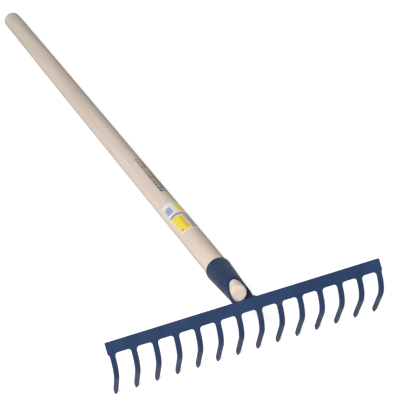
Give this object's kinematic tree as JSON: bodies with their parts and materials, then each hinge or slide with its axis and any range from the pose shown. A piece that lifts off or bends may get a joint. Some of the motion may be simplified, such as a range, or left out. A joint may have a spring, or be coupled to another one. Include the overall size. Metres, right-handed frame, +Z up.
{
  "type": "garden rake",
  "caption": "Garden rake: a straight bar with curved pressed-steel teeth, a tapered socket and a long round wooden handle.",
  "frame": {"origin": "middle of the area that the rake covers on the floor, at floor height, with the rake lying on its tooth tips and on the far end of its handle", "axes": "+Z up; +Y from the head towards the free end of the handle; +X along the bar, to the right as seen from the free end of the handle turned towards the head's back"},
  "size_m": [0.3748, 1.4236, 0.1023],
  "materials": {
    "blue_paint": "satin blue paint on pressed steel",
    "ash_wood": "smooth sanded pale wood, thin clear coat",
    "zinc_steel": "zinc plated",
    "label_film": "printed self-adhesive film"
  },
  "bodies": {
    "root": {"rake_head": "blue_paint", "socket": "blue_paint", "weld_bead_left": "blue_paint", "weld_bead_right": "blue_paint", "handle": "ash_wood", "handle_nail": "zinc_steel", "label": "label_film"}
  },
  "joints": []
}
